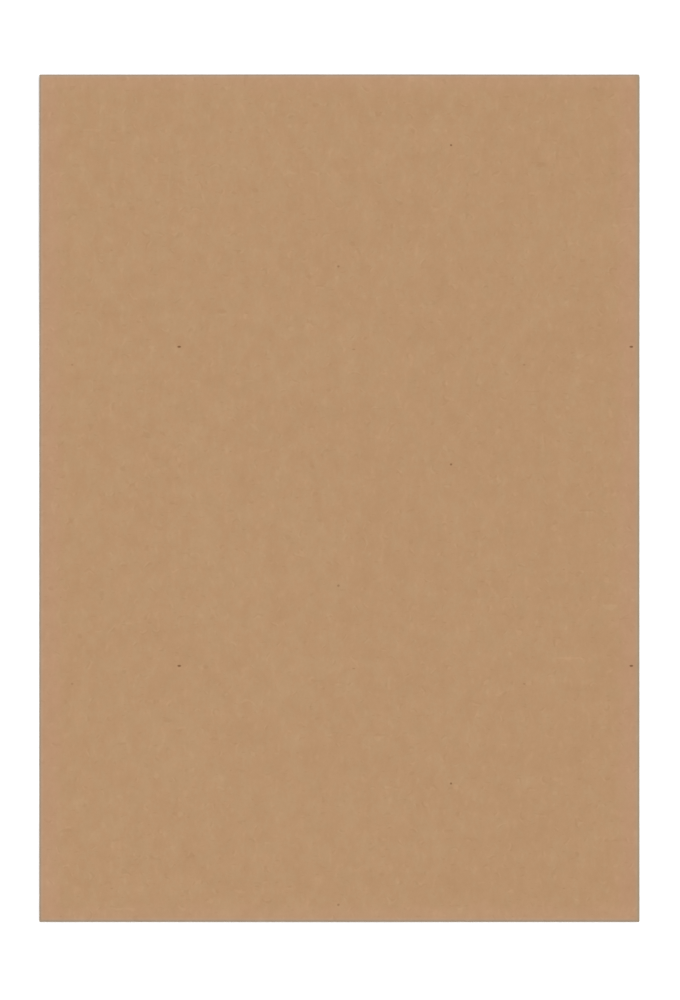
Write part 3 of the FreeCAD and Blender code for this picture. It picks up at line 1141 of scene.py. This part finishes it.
# %% Kraft paper: tooth and gloss
TOOTH_DEPTH = 0.03
SETTLED = (0.3, 0.7)
KRAFT_ROUGHNESS = (0.9, 0.8)
tooth = add_node(
    tree,
    "ShaderNodeBump",
    links={"Height": grains["tooth"]},
    inputs={"Strength": 0.3, "Distance": TOOTH_DEPTH * MM},
)
matt = add_node(
    tree,
    "ShaderNodeMapRange",
    links={"Value": grains["clouds"]},
    inputs={
        "From Min": SETTLED[0],
        "From Max": SETTLED[1],
        "To Min": KRAFT_ROUGHNESS[0],
        "To Max": KRAFT_ROUGHNESS[1],
    },
)
tree.links.new(matt.outputs["Result"], shader.inputs["Roughness"])
tree.links.new(tooth.outputs["Normal"], shader.inputs["Normal"])
shader.inputs["IOR"].default_value = 1.5
shader.inputs["Specular IOR Level"].default_value = 0.3
cover([envelope], kraft)
print("the paper's tooth is", TOOTH_DEPTH, "mm deep")

# %% [markdown]
# ### Hard fibre board
# The buttons are punched from a board of brown fibre that is laid up in plies, pressed hard and
# calendered. So the face is smooth and shines a little more than the paper, with light and dark
# fibres in it. The punched edge is paler and rough, and the plies show there as fine lines. The
# rim is rubbed by the string. The patterns could use Object coordinates, but the two buttons lie
# at different places and would need two materials. They read "from_centre" instead, the place
# from a button's own centre, so that one material wears both rims evenly.

# %% Fibre board
BOARD_GRAINS = {
    # size along x, y and z in mm, shift, octaves, roughness
    "light fibres": ((0.35, 0.9, 0.3), 3.0, 3.0, 0.7),
    "dark fibres": ((0.8, 0.3, 0.3), 7.0, 3.0, 0.7),
    "clouds": ((4.0, 5.0, 1.0), 1.5, 2.0, 0.5),
    "plies": ((6.0, 6.0, 0.12), 1.0, 2.0, 0.7),
    "pressed fibre": ((0.4, 0.6, 0.4), 4.0, 2.0, 0.6),
}
WORN_RIM = 0.8
BOARD_TOOTH = 0.03
BOARD_ROUGHNESS = (0.5, 0.8)
board, tree, shader, from_centre = new_material("hard_fibre_board", "from_centre")
grains = lay_grains(tree, from_centre, BOARD_GRAINS)
radius = radius_in_plan(tree, from_centre)
BOARD_SHADES = [
    # name, value, where it starts and is full, largest share, shade
    ("clouds", grains["clouds"], 0.35, 0.7, 0.5, "#6E4528"),
    ("light fibres", grains["light fibres"], 0.5, 0.75, 0.45, "#A1744C"),
    ("dark fibres", grains["dark fibres"], 0.5, 0.75, 0.5, "#5C3921"),
    ("worn rim", radius, BUTTON_RADIUS - WORN_RIM, BUTTON_RADIUS, 0.55, "#B48A60"),
    ("pressed by the eyelet", radius, EYELET_HEAD + DIMPLE_LIP, EYELET_HEAD, 0.5, "#55341D"),
]
colour = lay_shades(tree, "#7F5331", BOARD_SHADES)
relief = add_node(
    tree,
    "ShaderNodeMath",
    {"operation": "ADD"},
    {0: grains["plies"], 1: grains["pressed fibre"]},
)
bump = add_node(
    tree,
    "ShaderNodeBump",
    links={"Height": relief.outputs["Value"]},
    inputs={"Strength": 0.6, "Distance": BOARD_TOOTH * MM},
)
gloss = add_node(
    tree,
    "ShaderNodeMapRange",
    {"interpolation_type": "SMOOTHSTEP"},
    {"Value": radius},
    {
        "From Min": BUTTON_RADIUS - WORN_RIM,
        "From Max": BUTTON_RADIUS,
        "To Min": BOARD_ROUGHNESS[0],
        "To Max": BOARD_ROUGHNESS[1],
    },
)
tree.links.new(colour, shader.inputs["Base Color"])
tree.links.new(gloss.outputs["Result"], shader.inputs["Roughness"])
tree.links.new(bump.outputs["Normal"], shader.inputs["Normal"])
shader.inputs["IOR"].default_value = 1.5
cover(buttons, board)
print("the board has", len(grains), "grains and", len(BOARD_SHADES), "shades")

# %% [markdown]
# ### Rolled brass
# An eyelet is drawn from thin brass strip, so it is bright. The tool that rolls its rim over
# leaves faint rings round the bore. Air has dulled it since: it is browner and rougher in soft
# patches, and browner still in the bore, where nothing rubs it. The rings are really 0.05 mm apart,
# and are drawn at 0.2 mm, because closer ones would not show.

# %% Brass
BRASS_GRAINS = {
    # size along x, y and z in mm, shift, octaves, roughness
    "tarnish": ((1.4, 1.4, 1.4), 5.0, 3.0, 0.6),
    "handling": ((0.25, 0.25, 0.25), 2.0, 1.0, 0.5),
}
DULL_DEPTH = 0.5
RING_SPACING = 0.2
RING_DEPTH = 0.004
TARNISHED = (0.35, 0.7)
BRASS_ROUGHNESS = (0.24, 0.5)
brass, tree, shader, from_centre = new_material("rolled_brass", "from_centre")
grains = lay_grains(tree, from_centre, BRASS_GRAINS)
radius = radius_in_plan(tree, from_centre)
BRASS_SHADES = [
    # name, value, where it starts and is full, largest share, shade
    ("tarnish", grains["tarnish"], 0.42, 0.68, 0.6, "#BC9450"),
    ("dull bore", radius, BORE + DULL_DEPTH, BORE, 0.7, "#8F6A38"),
]
colour = lay_shades(tree, "#E6C67C", BRASS_SHADES)
turns = add_node(
    tree,
    "ShaderNodeMath",
    {"operation": "MULTIPLY"},
    {0: radius},
    {1: 2 * math.pi / RING_SPACING},
)
rings = add_node(tree, "ShaderNodeMath", {"operation": "SINE"}, {0: turns.outputs["Value"]})
relief = add_node(
    tree,
    "ShaderNodeMath",
    {"operation": "ADD"},
    {0: rings.outputs["Value"], 1: grains["handling"]},
)
bump = add_node(
    tree,
    "ShaderNodeBump",
    links={"Height": relief.outputs["Value"]},
    inputs={"Strength": 0.3, "Distance": RING_DEPTH * MM},
)
gloss = add_node(
    tree,
    "ShaderNodeMapRange",
    links={"Value": grains["tarnish"]},
    inputs={
        "From Min": TARNISHED[0],
        "From Max": TARNISHED[1],
        "To Min": BRASS_ROUGHNESS[0],
        "To Max": BRASS_ROUGHNESS[1],
    },
)
tree.links.new(colour, shader.inputs["Base Color"])
tree.links.new(gloss.outputs["Result"], shader.inputs["Roughness"])
tree.links.new(bump.outputs["Normal"], shader.inputs["Normal"])
shader.inputs["Metallic"].default_value = 1.0
cover(eyelets, brass)
print("the brass has", len(grains), "grains and", len(BRASS_SHADES), "shades")
